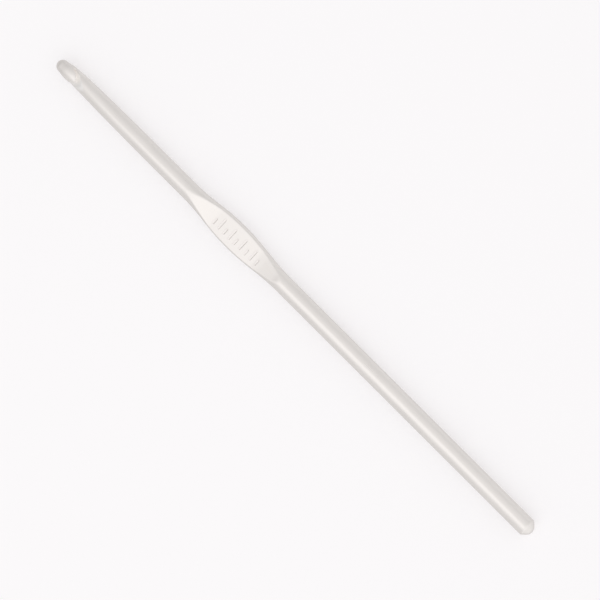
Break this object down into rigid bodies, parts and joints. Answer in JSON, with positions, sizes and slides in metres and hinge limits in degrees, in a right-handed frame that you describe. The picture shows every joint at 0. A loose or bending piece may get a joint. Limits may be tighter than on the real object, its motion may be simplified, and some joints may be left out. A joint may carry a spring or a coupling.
{
  "type": "crochet hook",
  "caption": "One-piece light-alloy crochet hook: ball nose with an undercut mouth, tapered neck, round shaft, pressed thumb rest with a pressed scale of nine strokes, and a round handle with a coned butt.",
  "frame": {"origin": "on the rod's axis, midway between nose and butt", "axes": "+X along the rod towards the nose, +Z out of the marked thumb flat; the mouth opens 22 degrees from +Z towards +Y; Y across the thumb rest"},
  "size_m": [0.158, 0.0068, 0.0044],
  "materials": {
    "hook_metal": "satin anodised, pale silver"
  },
  "bodies": {
    "root": {"hook_body": "hook_metal"}
  },
  "joints": []
}
